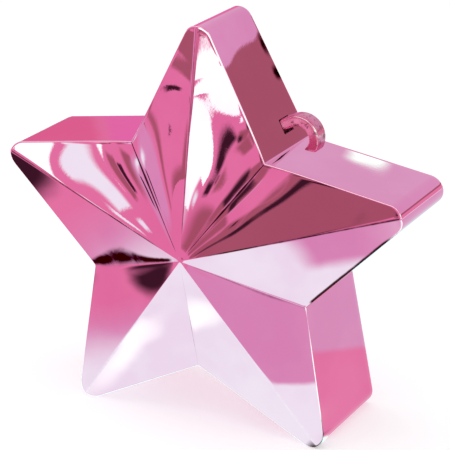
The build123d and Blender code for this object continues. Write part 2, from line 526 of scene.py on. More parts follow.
@dataclass(frozen=True)
class MirrorFilm(Finish):
    """Vacuum metal under pink lacquer: a mirror with soft haze, orange peel and worn edges."""

    tint: Colour = (0.87, 0.235, 0.465)
    deep_tint: Colour = (0.84, 0.21, 0.44)
    worn_tint: Colour = (0.95, 0.32, 0.54)
    # Near black: the colour of the painted dark reflections along creases, ridges and the rim.
    painted_reflection_tint: Colour = (0.05, 0.004, 0.010)
    glance_tint: Colour = (1.0, 1.0, 1.0)
    smooth: float = 0.005
    hazed: float = 0.02
    wear: float = 0.5
    peel: float = 0.00000035
    fleck: float = 0.0
    fleck_shade: float = 0.35
    fleck_haze: float = 0.2
    cloud_scale: float = 55.0
    cloud_band: Pair = (0.35, 0.65)
    grain_scale: float = 1500.0
    rub_band: Pair = (0.35, 0.62)
    rub_range: Pair = (0.25, 1.0)
    smear_scale: float = 170.0
    haze_band: Pair = (0.42, 0.78)
    rag_band: Pair = (0.3, 0.7)
    rag_range: Pair = (0.75, 1.2)
    dark_reflection_band: Pair = (0.15, 0.85)
    fleck_scale: float = 900.0
    fleck_band: Pair = (0.56, 0.66)

    def inputs(self, graph: Graph, place: Socket) -> dict[str, object]:
        """Cloudy pink, rubbed at the edges, with painted dark reflections, and flecked.

        Args:
            graph: The material's nodes.
            place: The socket of the Object coordinates.

        Returns:
            Values and sockets for the Principled shader.
        """
        cloud = graph.noise(place, self.cloud_scale, detail=3.0, roughness=0.55)
        grain = graph.noise(place, self.grain_scale, roughness=0.6)
        smear = graph.noise(place, self.smear_scale, detail=4.0, roughness=0.6, distortion=0.8)
        colour = graph.blend(graph.ease(cloud, *self.cloud_band), self.deep_tint, self.tint)
        edge = graph.add("Attribute", attribute_name="wear").outputs["Fac"]
        rub = graph.ease(grain, *self.rub_band, *self.rub_range)
        rubbed = graph.math("MULTIPLY", edge, rub)
        colour = graph.blend(graph.math("MULTIPLY", rubbed, self.wear), colour, self.worn_tint)
        # Painted dark reflections: where this attribute is set, colour and specular tint go nearly
        # black.
        dark_reflection = graph.add("Attribute", attribute_name="dark_reflection").outputs["Fac"]
        rag = graph.ease(smear, *self.rag_band, *self.rag_range)
        dark_reflection_share = graph.ease(graph.math("MULTIPLY", dark_reflection, rag), *self.dark_reflection_band)
        colour = graph.blend(dark_reflection_share, colour, self.painted_reflection_tint)
        glance = graph.blend(dark_reflection_share, self.glance_tint, self.painted_reflection_tint)
        haze = graph.ease(smear, *self.haze_band, self.smooth, self.hazed)
        if self.fleck:
            spots = graph.noise(place, self.fleck_scale, roughness=0.7)
            spots = graph.ease(spots, *self.fleck_band)
            dark = tuple(self.fleck_shade * part for part in self.deep_tint)
            colour = graph.blend(graph.math("MULTIPLY", spots, self.fleck), colour, dark)
            haze = graph.math("ADD", haze, graph.math("MULTIPLY", spots, self.fleck_haze))
        return dict(Base_Color=colour, Metallic=1.0, Roughness=haze, Specular_Tint=glance,
                    Normal=graph.bump(grain, self.peel))


@dataclass(frozen=True)
class BarePlastic(Finish):
    """The moulded plastic inside the shell, which has no metal on it."""

    tint: Colour = (0.30, 0.05, 0.13)
    shade: Colour = (0.20, 0.03, 0.08)
    cloud_scale: float = 120.0
    pit_scale: float = 2200.0
    pit_depth: float = 0.00001
    pit_band: Pair = (0.3, 0.7)
    roughness: Pair = (0.42, 0.58)

    def inputs(self, graph: Graph, place: Socket) -> dict[str, object]:
        """Two pinks in clouds, with fine pits.

        Args:
            graph: The material's nodes.
            place: The socket of the Object coordinates.

        Returns:
            Values and sockets for the Principled shader.
        """
        cloud = graph.noise(place, self.cloud_scale, detail=3.0)
        pits = graph.noise(place, self.pit_scale, roughness=0.6)
        return dict(Base_Color=graph.blend(cloud, self.shade, self.tint),
                    Roughness=graph.ease(pits, *self.pit_band, *self.roughness),
                    Normal=graph.bump(pits, self.pit_depth))


@dataclass(frozen=True)
class CastPlaster(Finish):
    """Plaster poured into the shell: chalky, with sand grains and small voids."""

    chalk: Colour = (0.78, 0.76, 0.71)
    sand: Colour = (0.52, 0.46, 0.37)
    # Painted shade: the grey put into each void.
    painted_void_shade: Colour = (0.40, 0.38, 0.34)
    grain_scale: float = 1100.0
    grain_rise: float = 0.3
    void_scale: float = 240.0
    void_depth: float = 0.0002
    grain_band: Pair = (0.54, 0.66)
    void_band: Pair = (0.10, 0.22)
    roughness: Pair = (0.95, 0.75)

    def inputs(self, graph: Graph, place: Socket) -> dict[str, object]:
        """Chalk with sand in it, and a void in the middle of each Voronoi cell, sunk by the bump
        and painted grey as shade.

        Args:
            graph: The material's nodes.
            place: The socket of the Object coordinates.

        Returns:
            Values and sockets for the Principled shader.
        """
        grains = graph.noise(place, self.grain_scale, detail=3.0, roughness=0.7)
        grains = graph.ease(grains, *self.grain_band)
        cells = graph.feed(graph.add("TexVoronoi", feature="F1"), Vector=place,
                           Scale=self.void_scale)
        voids = graph.ease(cells.outputs["Distance"], *self.void_band, 1.0, 0.0)
        # The voids are sunk by the bump and painted grey as shade.
        colour = graph.blend(voids, graph.blend(grains, self.chalk, self.sand), self.painted_void_shade)
        height = graph.math("SUBTRACT", graph.math("MULTIPLY", grains, self.grain_rise), voids)
        return dict(Base_Color=colour, Roughness=graph.ease(grains, 0.0, 1.0, *self.roughness),
                    Normal=graph.bump(height, self.void_depth))


@dataclass
class StarPiece:
    """A piece of the star that is made as one sheet, in the place of a CAD node."""

    form: StarForm
    label: ClassVar[str]
    node: ClassVar[str]
    slot: ClassVar[str]

    def sheet(self) -> Sheet:
        """The piece's skin."""
        raise NotImplementedError

    def build(self, *finishes: Material) -> bpy.types.Object:
        """Makes the piece, dresses it and puts it into the scene.

        Args:
            finishes: The materials, in the order of the mesh's slots.

        Returns:
            The object, which rides on the frame's body.
        """
        mesh = self.sheet().mesh(self.label)
        piece = bpy.data.objects.new(mesh.name, mesh)
        bpy.context.scene.collection.objects.link(piece)
        for finish in finishes:
            mesh.materials.append(finish)
        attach(piece, BODY)
        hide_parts(self.node)
        log.info("%s: %d faces in the place of %s", piece.name, len(mesh.polygons), self.node)
        return piece


@dataclass(frozen=True)
class DarkReflectionLine:
    """A painted dark reflection along a crease, by its half width and place aside of the line."""

    width: float
    aside: float = 0.0
    depth: float = 1.0


@dataclass
class StarShell(StarPiece):
    """The front shell: ten facets from an apex, a rounded rim, side walls and an open back."""

    label = "star_shell"
    node = "front_shell"
    slot = "shell"
    front_rows: int = 56
    front_crowding: float = 1.25
    apex_round: float = 0.45
    rim_round: float = 0.28
    rim_rows: int = 7
    rim_lead: float = 0.1
    even_depth: float = 17.5
    wall_step: float = 1.1
    back_rows: int = 6
    back_round: float = 0.35
    back_arc_rows: int = 4
    seat_inset: float = 0.8
    seat_depth: float = 1.5
    seat_film_rows: int = 2
    inner_rim_rows: int = 2
    inner_shares: tuple[float, ...] = (1.0, 0.66, 0.33)
    slot_depths: Pair = (12.05, 16.55)
    fine_bearings: int = 7200
    ridge_soft: float = math.radians(0.2)
    crease_soft: tuple[float, ...] = (9.5, 2.6, 1.4, 3.2, 9.5)
    dish_slope: tuple[float, ...] = (0.045, 0.045, 0.0, 0.0, 0.0, 0.0, 0.0, 0.0, 0.045, 0.045)
    soft_ends: Pair = (20.0, 48.0)
    pleats: int = 9
    pleat_rates: Pair = (60.0, 170.0)
    pleat_reach: float = math.radians(9.0)
    pleat_slope: float = 0.004
    pleat_seed: int = 4
    # Painted dark reflection lines along the creases, the ridges, a stretch of rim and a wall's
    # back.
    crease_dark_reflections: tuple[DarkReflectionLine, ...] = (DarkReflectionLine(0.3), DarkReflectionLine(0.45, 0.45, 0.45), DarkReflectionLine(0.1, 0.0, 0.5),
                               DarkReflectionLine(2.1, 1.9), DarkReflectionLine(0.3))
    dark_reflection_starts: Pair = (1.0, 4.0)
    dark_reflection_middle: float = 19.0
    dark_reflection_reach: float = 7.5
    dark_reflection_least: float = 0.25
    ridge_dark_reflections: tuple[float, ...] = (0.55, 0.8, 0.0, 0.0, 0.7)
    ridge_dark_reflection_width: float = 0.2
    ridge_dark_reflection_starts: Pair = (3.0, 9.0)
    rim_dark_reflection: Pair = (75.0, 107.0)
    rim_dark_reflection_fade: float = 4.0
    wall_dark_reflections: tuple[Pair, ...] = ((8.2, 2.2), (14.2, 1.8))
    wall_dark_reflection_rows: float = 2.6
    wall_dark_reflection_depth: float = 0.8
    gate_radius: float = 1.1
    gate_width: float = 0.4
    gate_groove: float = 0.05
    swell: float = 0.02
    swell_length: float = 17.0
    swell_seed: int = 21
    wall_swell: float = 0.01
    wall_swell_seed: int = 33
    wall_swell_fades: Pair = (5.0, 4.0)
    wall_swell_past: float = 2.0
    back_wear: float = 0.8
    ridge_wear: float = 0.6

    @cached_property
    def _theta(self) -> Array:
        """The bearing of each outline point from the middle of the star."""
        return np.unwrap(np.arctan2(self.form.outline[:, 0], self.form.outline[:, 1]))

    def _radius(self, share: Array) -> Array:
        """The distance of the front's points from the middle, rows of shares by rays."""
        return share[:, None] * np.linalg.norm(self.form.outline, axis=1)

    def _from_line(self, bearing: float, radius: Array) -> Array:
        """The distance of the front's points aside of a ray: radius times the angle's sine."""
        apart = wrapped(self._theta - bearing)
        return radius * np.sin(np.clip(apart, -math.pi / 2, math.pi / 2))

    def _falls(self, share: Array) -> Array:
        """How steeply the front falls along each ray from the apex.

        The sharp star falls in proportion to cos(bearing from the wall's normal) / wall radius,
        blurred a little at the ridges. To that comes the moulding's softness: in each crease
        the bearing |a| from its line is taken as s log(2 cosh(a / s)), dished facets fall
        faster in their middle, as 1 - (share of the half width)^2, and fine pleats run beside
        the two softest creases. The softness dies out past the end of the creases, so the arms
        end in flat facets.

        Args:
            share: The shares of the way from the apex to the outline, one for each row.

        Returns:
            The share of the rise lost in each millimetre, rows by rays.
        """
        form, count, pitch = self.form, self.fine_bearings, self.form.pitch
        fine = np.arange(count) * TURN / count
        normal = math.acos(form.wall_radius / form.tip_radius)

        def facet(from_crease: Array) -> Array:
            """The fall of a facet at a bearing from its crease."""
            return np.cos(normal - pitch / 2 + from_crease) / form.wall_radius

        from_tip = form.from_tip(fine)
        rate = np.fft.rfftfreq(count, 1.0 / count)
        blur = np.exp(-0.5 * (rate * self.ridge_soft) ** 2)
        plain = np.fft.irfft(np.fft.rfft(facet(pitch / 2 - from_tip)) * blur, count)
        aside = from_tip / (pitch / 4) - 1.0
        dish = np.repeat(self.dish_slope, count // (2 * form.arms))
        soft = dish / form.apex_rise * (pitch / 8) * (1.0 - aside ** 2)
        for valley, degrees in enumerate(self.crease_soft):
            width = math.radians(degrees)
            apart = wrapped(fine - (valley + 0.5) * pitch)
            near = np.abs(apart) < pitch / 2
            scaled = np.where(near, apart, pitch) / width
            rounded = width * np.logaddexp(scaled, -scaled)
            soft = soft + np.where(near, facet(rounded) - facet(np.abs(apart)), 0.0)
            if degrees == max(self.crease_soft):
                soft = soft + self._pleats(apart, self.pleat_seed + valley)
        bearing = self._theta % TURN
        fade = 1.0 - smooth_step(*self.soft_ends, self._radius(share))
        return (np.interp(bearing, fine, plain, period=TURN)
                + fade * np.interp(bearing, fine, soft, period=TURN))

    def _pleats(self, apart: Array, seed: int) -> Array:
        """Fine folds beside a crease.

        Args:
            apart: Bearings from the crease.
            seed: The seed of the folds.

        Returns:
            A sum of sines of the bearing, whose slope is held to the pleat slope, fading with
            the square of the bearing.
        """
        draw = np.random.default_rng(seed)
        rate = draw.uniform(*self.pleat_rates, self.pleats)[:, None]
        phase = draw.uniform(0.0, TURN, self.pleats)[:, None]
        fold = (np.sin(rate * apart + phase) / rate).sum(axis=0) / math.sqrt(self.pleats)
        return fold * bell(apart / self.pleat_reach) * self.pleat_slope / self.form.apex_rise

    def _front(self, share: Array) -> Array:
        """The height of the front over the rim's plane.

        Args:
            share: The shares of the way from the apex to the outline, one for each row.

        Returns:
            The rise of the apex less the fall along the ray, with the apex rounded by
            sqrt(r^2 + a^2) - a in place of r, plus a slow swell that dies out at the rim, less
            a fine ring round the moulding gate at the apex.
        """
        radius = self._radius(share)
        rounded = np.hypot(radius, self.apex_round) - self.apex_round
        height = self.form.apex_rise * (1.0 - rounded * self._falls(share))
        places = share[:, None, None] * self.form.outline
        swell = waves(places[..., 0], places[..., 1], self.swell_length, self.swell_seed)
        height = height + self.swell * swell * (share * (1.0 - share ** 4))[:, None] * 4.0
        return height - self.gate_groove * bell((radius - self.gate_radius) / self.gate_width)

    def _depths(self) -> Array:
        """The depths of the level rows of the walls, with the slot's two edges among them.

        Returns:
            Even steps from the rim to the slot, along the slot, and on to the even depth.
        """
        stops = (0.0, *self.slot_depths, self.even_depth)
        parts = []
        for low, high in zip(stops, stops[1:]):
            steps = max(1, round((high - low) / self.wall_step))
            parts.append(np.linspace(low, high, steps + 1)[1:])
        return np.concatenate(parts)

    def _wall(self, depths: Array) -> Array:
        """The outline of the moulded walls, which stray a little from flat.

        Args:
            depths: The depths of the rows.

        Returns:
            The outline moved out by a slow swell over (bearing, depth), which fades at the rim
            and the back.
        """
        around = self._theta[None, :] * self.form.valley_radius
        swell = waves(around + 0.0 * depths, depths + 0.0 * around, self.swell_length,
                      self.wall_swell_seed)
        front, rear = self.wall_swell_fades
        to_back = self.even_depth + self.wall_swell_past - depths
        fade = smooth_step(0.0, front, depths) * smooth_step(0.0, rear, to_back)
        return self.form.inset(-self.wall_swell * swell * fade)

    def sheet(self) -> Sheet:
        """The whole skin, from the apex over the rim, back along the walls and in again.

        Returns:
            Rows of the front, the rim's arc, the wall's level and sloped rows, the back edge,
            the cover's seat, the inside of the wall and the inside of the facets.
        """
        form = self.form
        stretch = math.hypot(1.0, form.slope)
        turned = np.linspace(math.atan(form.slope), math.pi / 2, self.rim_rows)
        middle = self.rim_round * (form.slope - stretch)
        insets = self.rim_round * (1.0 - np.sin(turned))
        share = (np.arange(1, self.front_rows) / self.front_rows) ** self.front_crowding
        share = np.append(share, 1.0 - self.rim_lead / form.wall_radius)
        share = (1.0 - insets[0] / form.wall_radius) * share
        lift = self._front(np.ones(1))[0]
        falls = np.append(middle + self.rim_round * np.cos(turned), middle - self.rim_lead)

        level = np.repeat(self._depths()[:, None], len(form.outline), axis=1)
        back = form.back(form.outline) - self.back_round
        share_back = np.linspace(0.0, 1.0, self.back_rows + 1)[1:, None]
        sloped = self.even_depth + (back - self.even_depth) * share_back
        turned = np.linspace(0.0, math.pi / 2, self.back_arc_rows + 1)[1:, None]
        edge = form.inset(self.back_round * (1.0 - np.cos(turned)))
        seat = form.inset(np.array([self.seat_inset, self.seat_inset, form.wall])[:, None])
        seat_falls = np.array([0.0, self.seat_depth, self.seat_depth])[:, None]

        inside = form.inset(form.wall)
        level_in = level[::-1][: -self.inner_rim_rows]
        rim_in = form.wall * (stretch - form.slope)
        apex_in = form.wall * stretch - form.apex_rise
        share_in = np.array(self.inner_shares)[:, None]
        rise_in = apex_in + (rim_in - apex_in) * share_in

        parts = [
            (share[:, None, None] * form.outline, -self._front(share)),
            (form.inset(np.append(insets, 0.0)[:, None]), -lift - falls[:, None]),
            (self._wall(level), level),
            (self._wall(sloped), sloped),
            (edge, form.back(edge) - self.back_round * (1.0 - np.sin(turned))),
            (seat, form.back(seat) - seat_falls),
            (np.broadcast_to(inside, level_in.shape + (2,)), level_in),
            (share_in[..., None] * inside, np.repeat(rise_in, len(inside), axis=1)),
        ]
        counts = np.cumsum([0] + [len(depths) for _, depths in parts])
        rows = form.place(*(np.concatenate(part) for part in zip(*parts)))
        return Sheet(
            rows=rows,
            start=form.place(np.zeros(2), np.array(-form.apex_rise)),
            stop=form.place(np.zeros(2), np.array(apex_in)),
            wear=self._wear(counts),
            dark_reflection=self._dark_reflections(counts, share),
            inner=np.arange(len(rows)) >= counts[5] + self.seat_film_rows,
            hole=self._slot(counts, level[:, 0]),
        )

    def _slot(self, counts: Array, level: Array) -> tuple[slice, slice, slice]:
        """The cells of the hook's slot, in the wall to the right of the top tip.

        Args:
            counts: The first row of each part of the skin.
            level: The depths of the level rows.

        Returns:
            The columns, the outer rows and the inner rows of the slot.
        """
        form = self.form

        def nearest(values: Array, targets: Pair) -> Array:
            """The places of the values that are nearest to the targets."""
            return np.array([int(np.argmin(np.abs(values - target))) for target in targets])

        columns = form.arc_points + form.run_points - 1 - nearest(form.run, form.cuts)
        outer = counts[2] + nearest(level, self.slot_depths)
        inner = counts[6] + nearest(level[::-1], self.slot_depths)
        return slice(*columns[::-1]), slice(*outer), slice(*inner[::-1])

    def _wear(self, counts: Array) -> Array:
        """Where the lacquer is rubbed: the rim, the back edge and the ridges of the front.

        Args:
            counts: The first row of each part of the skin.

        Returns:
            0 to 1 for each point of the skin.
        """
        wear = np.zeros((counts[-1], len(self.form.outline)))
        wear[counts[1] + 1 : counts[2] - 1] = 1.0
        wear[counts[4] - 1 : counts[5] + 1] = self.back_wear
        off_ridge = self.form.from_tip(self._theta) / (2.0 * self.ridge_soft)
        wear[: counts[1]] = self.ridge_wear * bell(off_ridge)
        return wear

    def _dark_reflections(self, counts: Array, share: Array) -> Array:
        """Where dark reflections are painted: creases, ridges, one rim and one wall's back.

        Args:
            counts: The first row of each part of the skin.
            share: The shares of the way from the apex to the outline in the front's rows.

        Returns:
            depth exp(-(d / width)^2) for each point of the skin, with d the distance from the
            line of the crease or ridge, moved aside where the painted line lies to one side of a
            crease. A crease's width and place aside grow from a quarter at the apex and shrink
            again at the end. The painted lines on the wall are the same in bearing, and grow
            towards the back edge.
        """
        dark_reflection = np.zeros((counts[-1], len(self.form.outline)))
        front = dark_reflection[: counts[1]]
        radius, pitch = self._radius(share), self.form.pitch
        grown = bell((radius - self.dark_reflection_middle) / self.dark_reflection_reach)
        grown = self.dark_reflection_least + (1.0 - self.dark_reflection_least) * grown
        for valley, run in enumerate(self.crease_dark_reflections):
            from_line = self._from_line((valley + 0.5) * pitch, radius) - run.aside * grown
            line = run.depth * bell(from_line / (run.width * grown))
            front += line * smooth_step(*self.dark_reflection_starts, radius)
        for arm, depth in enumerate(self.ridge_dark_reflections):
            line = depth * bell(self._from_line(arm * pitch, radius) / self.ridge_dark_reflection_width)
            front += line * smooth_step(*self.ridge_dark_reflection_starts, radius)
        degrees = np.degrees(self._theta)
        first, last = self.rim_dark_reflection
        dark_reflection[counts[1] - 1 : counts[2]] += (
            smooth_step(0.0, self.rim_dark_reflection_fade, degrees - first)
            * smooth_step(0.0, self.rim_dark_reflection_fade, last - degrees))
        row = np.arange(counts[2], counts[4])[:, None] - counts[3]
        grown = self.wall_dark_reflection_depth * smooth_step(-self.wall_dark_reflection_rows, self.wall_dark_reflection_rows, row)
        for bearing, width in self.wall_dark_reflections:
            dark_reflection[counts[2] : counts[4]] += grown * bell((degrees - bearing) / width)
        return np.clip(dark_reflection, 0.0, 1.0)


@dataclass
class BackCover(StarPiece):
    """The star plate that closes the back, with a softly sunk face and a lip inside."""

    label = "star_back_cover"
    node = "back_cover"
    slot = "cover"
    edge_inset: float = 0.95
    thick: float = 1.4
    edge_round: float = 0.35
    edge_rows: int = 5
    edge_wear: float = 0.9
    face_rows: int = 40
    face_crowding: float = 0.9
    lip_inset: float = 1.8
    lip_thick: float = 1.1
    lip_depth: float = 2.4
    inner_shares: tuple[float, ...] = (0.66, 0.33)
    dish: float = 0.25
    sink: float = 0.05
    sink_width: float = 1.1
    sink_fades: Pair = (0.15, 0.2)
    swell: float = 0.03
    swell_length: float = 20.0
    swell_seed: int = 5

    def _face(self, share: Array) -> Array:
        """How far the face stands below the back plane.

        Args:
            share: The shares of the way from the middle to the edge, one for each row.

        Returns:
            A dish that falls as (1 - share^2) with shallow sink marks over the five ribs.
        """
        places = share[:, None, None] * self.form.outline
        bearing = np.arctan2(places[..., 0], places[..., 1])
        aside = np.linalg.norm(places, axis=-1) * np.sin(self.form.from_tip(bearing))
        middle, edge = self.sink_fades
        fade = smooth_step(0.0, middle, share) * smooth_step(0.0, edge, 1.0 - share)
        swell = waves(places[..., 0], places[..., 1], self.swell_length, self.swell_seed)
        marks = self.sink * bell(aside / self.sink_width) + self.swell * swell
        return (self.dish * (1.0 - share ** 2))[:, None] + fade[:, None] * marks

    def sheet(self) -> Sheet:
        """The plate's skin, from the middle of its face round the edge and lip to the inside.

        Returns:
            Rows of the face, the rounded edge, the lip and the inner face.
        """
        form, thick = self.form, self.thick
        turned = np.linspace(0.0, math.pi / 2, self.edge_rows)
        insets = self.edge_inset + self.edge_round * (1.0 - np.sin(turned))
        falls = self.edge_round * (1.0 - np.cos(turned))
        share = (np.arange(1, self.face_rows) / self.face_rows) ** self.face_crowding
        share = share * (1.0 - insets[0] / form.wall_radius)
        lip_end, lip = thick + self.lip_depth, self.lip_inset
        deep = lip + self.lip_thick
        insets = np.concatenate([insets, [self.edge_inset, lip, lip, deep, deep]])
        falls = np.concatenate([falls, [thick, thick, lip_end, lip_end, thick]])
        face = share[:, None, None] * form.outline
        edge = form.inset(insets[:, None])
        inner = np.array(self.inner_shares)[:, None, None] * form.inset(deep)
        depths = [form.back(face) - self._face(share / share[-1]),
                  form.back(edge) - falls[:, None], form.back(inner) - thick]
        rows = form.place(np.concatenate([face, edge, inner]), np.concatenate(depths))
        wear = np.zeros(rows.shape[:2])
        outer_rows = len(share) + self.edge_rows
        wear[len(share) : outer_rows] = self.edge_wear
        return Sheet(
            rows=rows,
            start=form.place(np.zeros(2), np.array(form.depth - self.dish)),
            stop=form.place(np.zeros(2), np.array(form.depth - thick)),
            wear=wear,
            inner=np.arange(len(rows)) >= outer_rows,
            outward_first=False,
        )


@dataclass
class RibbonHook(StarPiece):
    """The hook that holds the ribbon: a flat bar out of the top arm's wall, bent half round."""

    label = "ribbon_hook"
    node = "hook"
    slot = "hook"
    width: float = 4.2
    gauge: float = 2.4
    inner_radius: float = 2.7
    reach: float = 2.3
    seat: float = 1.3
    behind_rim: float = 12.2
    mouth: float = 0.4
    squareness: float = 7.0
    plate_thick: float = 1.4
    plate_gap: float = 0.1
    plate_margin: Pair = (1.9, 1.15)
    plate_side: float = 1.15
    section_points: int = 40
    shank_rows: int = 8
    bend_rows: int = 48
    tip_rows: int = 5
    tip_share: float = 0.06
    tip_shrink: float = 0.22
    worn_corner: Pair = (0.75, 0.95)
    unworn_rows: int = 3

    def _section(self) -> Array:
        """A rounded rectangle of half sizes 1 by 1 before scaling, as (gauge, width).

        Returns:
            Points of a superellipse |a|^n + |b|^n = 1, evenly spaced in angle.
        """
        angle = np.arange(self.section_points) * TURN / self.section_points
        circle = np.stack([np.cos(angle), np.sin(angle)], axis=1)
        return np.sign(circle) * np.abs(circle) ** (2.0 / self.squareness)

    def sheet(self) -> Sheet:
        """The bar carried along its path, from the plate inside the wall to the mouth.

        The path is a straight shank and then a half turn, in a plane with its first axis out of
        the wall and its second up the wall from the valley. Each fibre of the bend is stopped
        where it comes within the mouth's gap of the next wall, so the end is cut parallel to it.

        Returns:
            Rows of the plate, the shank, the bend and the rounded end.
        """
        form, section = self.form, self._section()
        radius = self.inner_radius + self.gauge / 2
        middle = self.seat + radius
        start = -(form.wall + self.plate_gap)
        below, above = self.plate_margin
        plate = (above + self.gauge + below) / 2
        plate_up = middle + (above - below) / 2 + section[:, 0] * plate
        plate_wide = section[:, 1] * (self.width / 2 + self.plate_side)
        thick = section[:, 0] * self.gauge / 2
        wide = section[:, 1] * self.width / 2
        shank = np.linspace(start, self.reach, self.shank_rows + 1)[:-1]
        shank = np.concatenate([[start - self.plate_thick, start], shank])

        fibre = radius + thick
        wall = -form.turns[1]
        away = self.reach * math.cos(wall) + self.seat * math.sin(wall) - self.mouth
        stop = wall - np.arccos(-away / fibre)
        turned = np.linspace(0.0, math.pi / 2, self.tip_rows)
        end = 1.0 - self.tip_share * (1.0 - np.sin(turned))
        shares = np.concatenate([np.linspace(0.0, end[0], self.bend_rows)[:-1], end])[:, None]
        shrink = 1.0 - self.tip_shrink * (1.0 - np.cos(turned))
        shrink = np.concatenate([np.ones(self.bend_rows - 1), shrink])[:, None]
        swing = math.pi / 2 + shares * (stop - math.pi / 2)
        fibres = radius + shrink * thick
        plates, shanks = np.ones((2, 1)), np.ones((self.shank_rows, 1))
        out = np.concatenate([shank[:, None] * np.ones(self.section_points),
                              self.reach + fibres * np.cos(swing)])
        up = np.concatenate([plates * plate_up, shanks * (middle + thick),
                             self.seat + fibres * np.sin(swing)])
        side = np.concatenate([plates * plate_wide, shanks * wide, shrink * wide])

        places = form.corners[1] + out[..., None] * form.normals[0] - up[..., None] * form.along[0]
        rows = form.place(places, self.behind_rim + self.width / 2 + side)
        wear = np.zeros(rows.shape[:2])
        wear[self.unworn_rows :] = smooth_step(*self.worn_corner, np.abs(section)).prod(axis=1)
        return Sheet(
            rows=rows,
            start=rows[0].mean(axis=0),
            stop=rows[-1].mean(axis=0),
            wear=wear,
            inner=np.zeros(len(rows), bool),
        )

    def build(self, *finishes: Material) -> bpy.types.Object:
        """Makes the hook and dresses it.

        Args:
            finishes: The finish of the bar.

        Returns:
            The hook, which the walls beside it don't mirror, as in the photograph.
        """
        hook = super().build(*finishes)
        hook.visible_glossy = False
        return hook


@dataclass
class PlasterFill:
    """The cast weight inside the shell, which keeps its CAD shape."""

    node: str = "ballast"

    def build(self, finish: Material) -> bpy.types.Object:
        """Dresses the CAD solid.

        Args:
            finish: The plaster.

        Returns:
            The solid's object.
        """
        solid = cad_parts[self.node]
        solid.data.materials.clear()
        solid.data.materials.append(finish)
        log.info("%s: dressed where it is", solid.name)
        return solid


class Edge(Enum):
    """How the border of a panel or floor patch fades, as a share of its half size."""

    HARD = 0.02
    CRISP = 0.08
    SOFT = 0.35
    BLURRED = 0.55
    FADED = 0.8


class Glow(Enum):
    """What a mirror sees in the studio: softboxes, black cloth, and glow and painted shadow on the
    floor.
    """

    WHITE = (1.3, 4.6, 2.4)
    PALE = (1.0, 3.2, 1.9)
    LILAC = (0.80, 1.03, 1.02)
    ROOM = (0.88, 0.66, 0.76)
    ROSE = (0.84, 0.30, 0.63)
    BLUSH = (0.79, 0.25, 0.45)
    WINE = (0.44, 0.33, 0.30)
    DARK = (0.05, 0.03, 0.04)


@dataclass(frozen=True)
class LightPanel:
    """A softbox or a flag of cloth round the set, by its bearing and size in degrees.

    A bearing of 0 is in front of the star and 90 is to its right.
    """

    bearing: float
    height: float
    half_width: float
    half_height: float
    glow: Glow
    edge: Edge = Edge.SOFT
    roll: float = 0.0

    def axes(self) -> tuple[Array, Array, Array]:
        """The panel's direction, its right and its up, as unit vectors.

        Returns:
            The direction at that bearing and height, and the two axes rolled about it.
        """
        turn, tilt, roll = map(math.radians, (self.bearing, self.height, self.roll))
        towards = np.array([math.sin(turn) * math.cos(tilt), -math.cos(turn) * math.cos(tilt),
                            math.sin(tilt)])
        right = np.array([math.cos(turn), math.sin(turn), 0.0])
        up = np.cross(towards, right)
        return (towards, right * math.cos(roll) + up * math.sin(roll),
                up * math.cos(roll) - right * math.sin(roll))

    def mask(self, graph: Graph, direction: Socket) -> Socket:
        """How much of the panel is seen in a direction.

        Args:
            graph: The world's nodes.
            direction: The socket of the direction looked in.

        Returns:
            The product of a smooth step over each axis of the panel's face.
        """
        towards, right, up = (graph.dot(direction, axis) for axis in self.axes())
        ahead = graph.math("MAXIMUM", towards, 0.001)
        mask = graph.math("GREATER_THAN", towards, 0.0)
        fade = self.edge.value
        for dot, half in ((right, self.half_width), (up, self.half_height)):
            across = graph.math("ABSOLUTE", graph.math("DIVIDE", dot, ahead))
            size = math.tan(math.radians(half))
            step = graph.ease(across, size * (1.0 - fade), size * (1.0 + fade), 1.0, 0.0)
            mask = graph.math("MULTIPLY", mask, step)
        return mask


@dataclass(frozen=True)
class FloorGlowPatch:
    """A patch painted into the floor's glow that only mirrors see, by its middle and half sizes
    in millimetres. The dark ones under the star are painted shadow.
    """

    x: float
    y: float
    half_length: float
    half_width: float
    glow: Glow
    edge: Edge = Edge.SOFT
    turn: float = 0.0
    is_round: bool = False

    def mask(self, graph: Graph, place: Socket) -> Socket:
        """How much of the card is seen at a place on the floor.

        Args:
            graph: The floor's nodes.
            place: The socket of the place, in metres.

        Returns:
            A smooth step over the length of (u, v) for a round card, or the product of one over
            |u| and one over |v|, with u and v the shares of the half sizes.
        """
        turn, fade = math.radians(self.turn), self.edge.value
        axes = np.array([[math.cos(turn), math.sin(turn)], [-math.sin(turn), math.cos(turn)]])
        shares = []
        for axis, half in zip(axes, (self.half_length, self.half_width)):
            middle = float(axis @ (self.x, self.y)) / half
            along = graph.dot(place, (axis[0] / (half * MM), axis[1] / (half * MM), 0.0))
            shares.append(graph.math("SUBTRACT", along, middle))
        if self.is_round:
            squares = [graph.math("MULTIPLY", share, share) for share in shares]
            shares = [graph.math("SQRT", graph.math("ADD", *squares))]
        steps = [graph.ease(graph.math("ABSOLUTE", share), 1.0 - fade, 1.0 + fade, 1.0, 0.0)
                 for share in shares]
        return steps[0] if self.is_round else graph.math("MULTIPLY", *steps)


